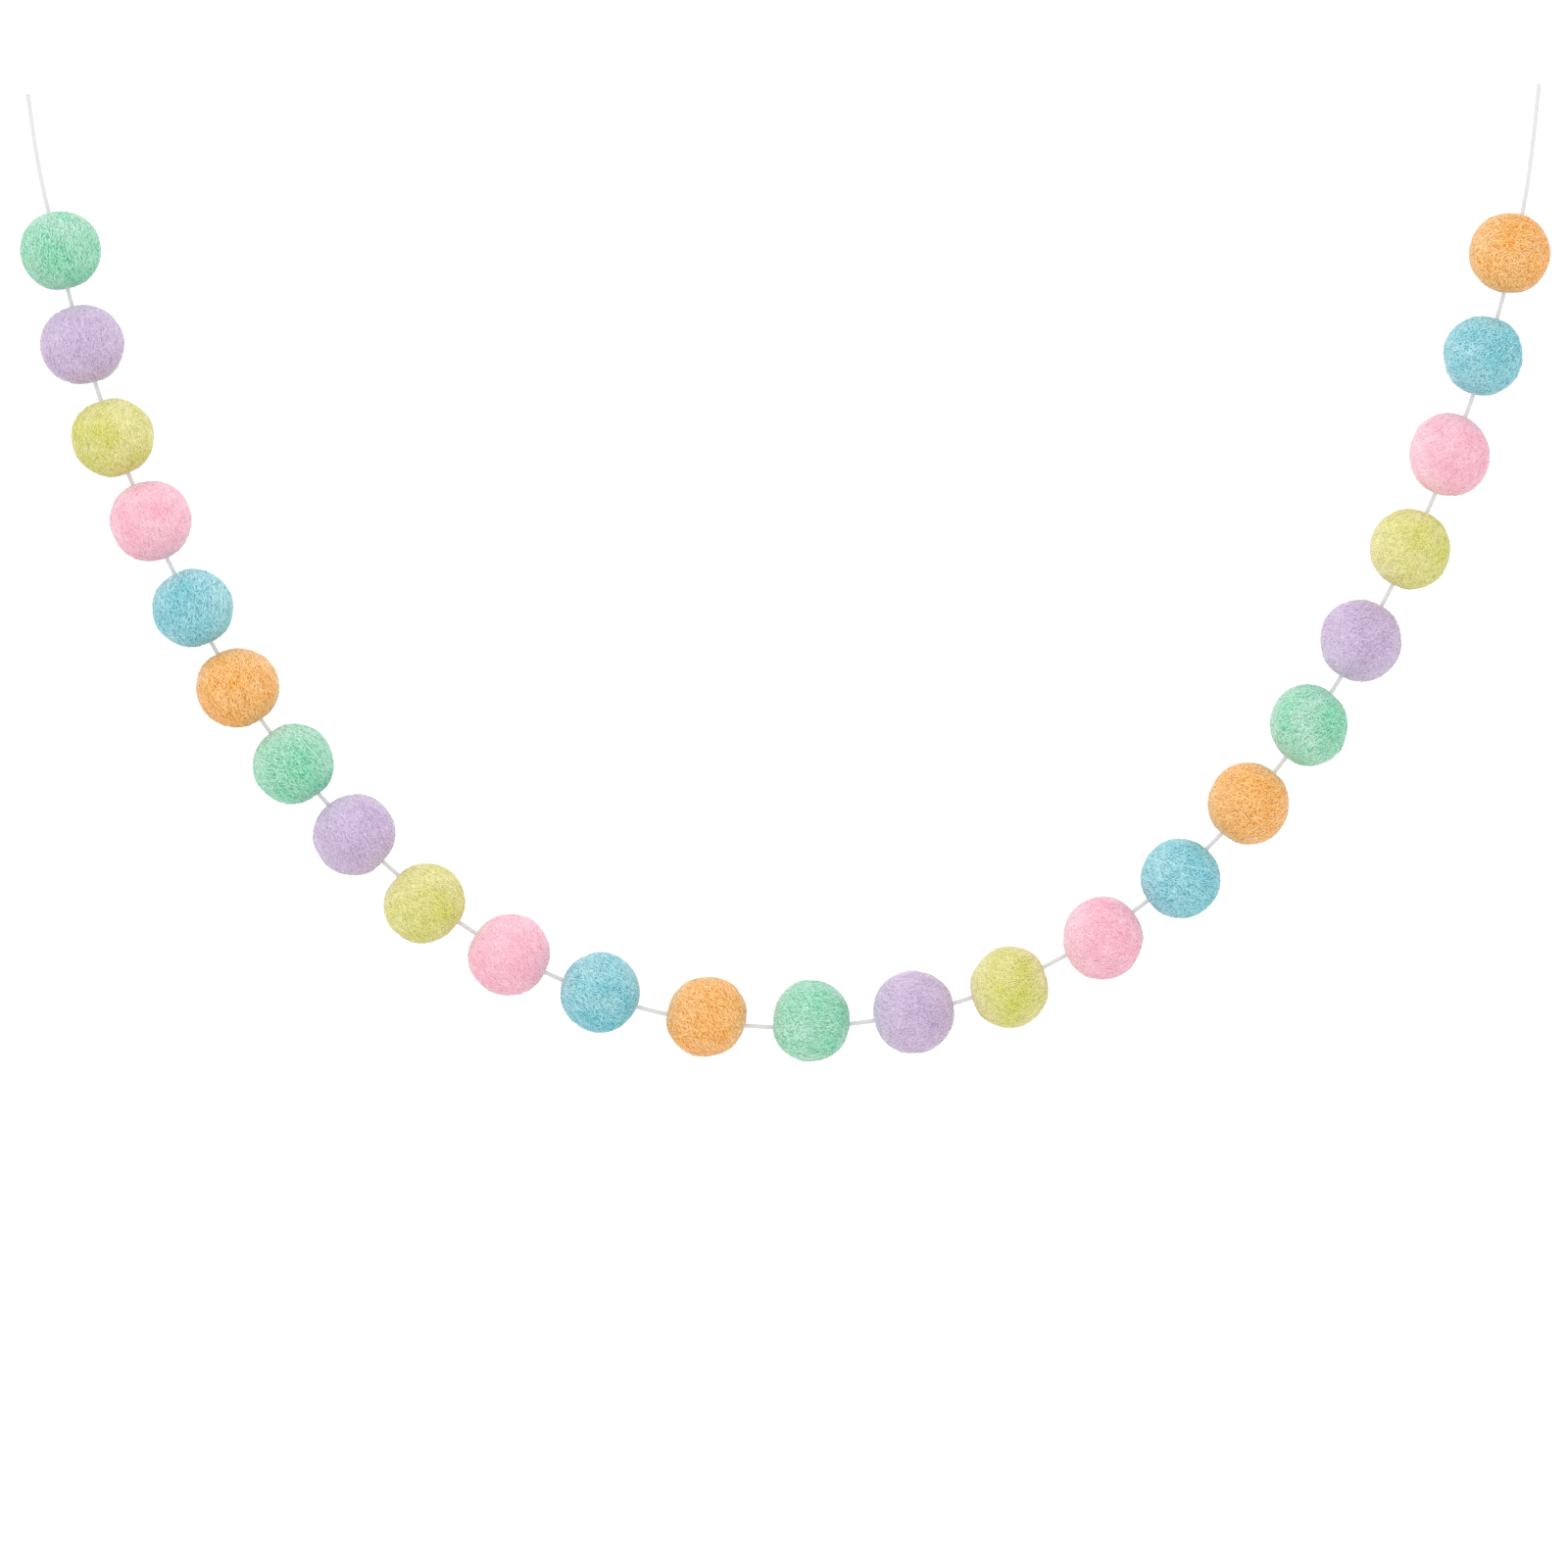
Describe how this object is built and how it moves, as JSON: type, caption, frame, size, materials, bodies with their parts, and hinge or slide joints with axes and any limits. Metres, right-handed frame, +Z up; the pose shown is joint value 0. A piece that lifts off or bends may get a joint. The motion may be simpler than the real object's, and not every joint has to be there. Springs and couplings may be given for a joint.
{
  "type": "felt ball garland",
  "caption": "Hanging garland of small felted wool balls in six pastel colours, threaded a little apart on one thin cotton cord that sags in a deep curve between its two plain cut ends.",
  "frame": {"origin": "the upper cut end of the cord on the left, from which the garland hangs", "axes": "+X from the left end of the cord to the right end, +Y away from the viewer, +Z up"},
  "size_m": [0.4685, 0.0252, 0.2992],
  "materials": {
    "mint_felt": "felted",
    "lilac_felt": "felted",
    "yellow_felt": "felted",
    "pink_felt": "felted",
    "blue_felt": "felted",
    "orange_felt": "felted",
    "cotton_cord": "twisted"
  },
  "bodies": {
    "root": {"stringing_cord": "cotton_cord", "felt_ball_01_mint": "mint_felt", "felt_ball_02_lilac": "lilac_felt", "felt_ball_03_yellow": "yellow_felt", "felt_ball_04_pink": "pink_felt", "felt_ball_05_blue": "blue_felt", "felt_ball_06_orange": "orange_felt", "felt_ball_07_mint": "mint_felt", "felt_ball_08_lilac": "lilac_felt", "felt_ball_09_yellow": "yellow_felt", "felt_ball_10_pink": "pink_felt", "felt_ball_11_blue": "blue_felt", "felt_ball_12_orange": "orange_felt", "felt_ball_13_mint": "mint_felt", "felt_ball_14_lilac": "lilac_felt", "felt_ball_15_yellow": "yellow_felt", "felt_ball_16_pink": "pink_felt", "felt_ball_17_blue": "blue_felt", "felt_ball_18_orange": "orange_felt", "felt_ball_19_mint": "mint_felt", "felt_ball_20_lilac": "lilac_felt", "felt_ball_21_yellow": "yellow_felt", "felt_ball_22_pink": "pink_felt", "felt_ball_23_blue": "blue_felt", "felt_ball_24_orange": "orange_felt"}
  },
  "joints": []
}
